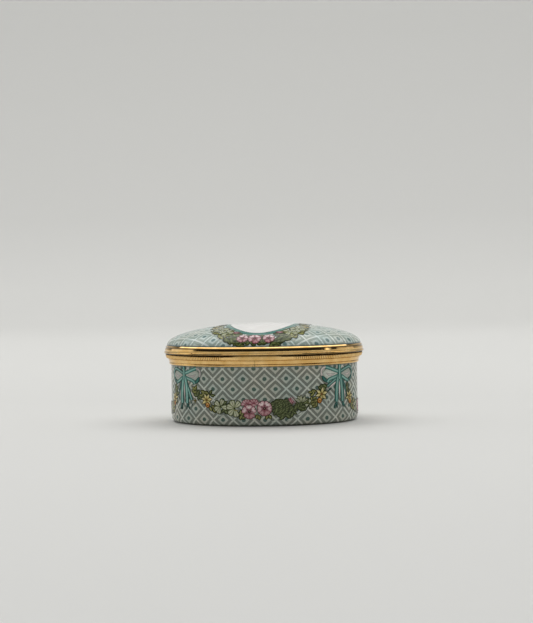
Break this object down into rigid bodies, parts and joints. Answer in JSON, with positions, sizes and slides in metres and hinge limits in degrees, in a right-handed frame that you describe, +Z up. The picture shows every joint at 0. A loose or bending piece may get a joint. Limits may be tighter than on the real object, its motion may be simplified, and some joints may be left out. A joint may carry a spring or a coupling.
{
  "type": "pill box",
  "caption": "Oval enamelled pill box with moulded gilt-brass mounts, a flat base to stand on and a domed lid that opens on a hinge at the back.",
  "frame": {"origin": "centre of the flat underside, on the surface the box stands on", "axes": "+X along the length to the right, -Y towards the front with the thumb flat, +Y towards the hinge, +Z up through the lid"},
  "size_m": [0.057, 0.045, 0.0276],
  "materials": {
    "outer_enamel": "gloss",
    "copper": "satin",
    "inner_enamel": "gloss",
    "gilt_brass": "polished"
  },
  "bodies": {
    "base": {"base_outer_enamel": "outer_enamel", "base_copper_shell": "copper", "base_inner_enamel": "inner_enamel", "base_mount": "gilt_brass", "base_throat": "gilt_brass", "base_knuckle_left": "gilt_brass", "base_knuckle_centre": "gilt_brass", "base_knuckle_right": "gilt_brass", "hinge_pin": "gilt_brass"},
    "lid": {"lid_outer_enamel": "outer_enamel", "lid_copper_shell": "copper", "lid_inner_enamel": "inner_enamel", "lid_mount": "gilt_brass", "lid_knuckle_left": "gilt_brass", "lid_knuckle_right": "gilt_brass"}
  },
  "joints": [
    {"name": "lid_hinge", "type": "hinge", "parent": "base", "child": "lid", "pos_m": [0, 0.02185, 0.01935], "axis": [-1, 0, 0], "range_deg": [0, 100]}
  ]
}
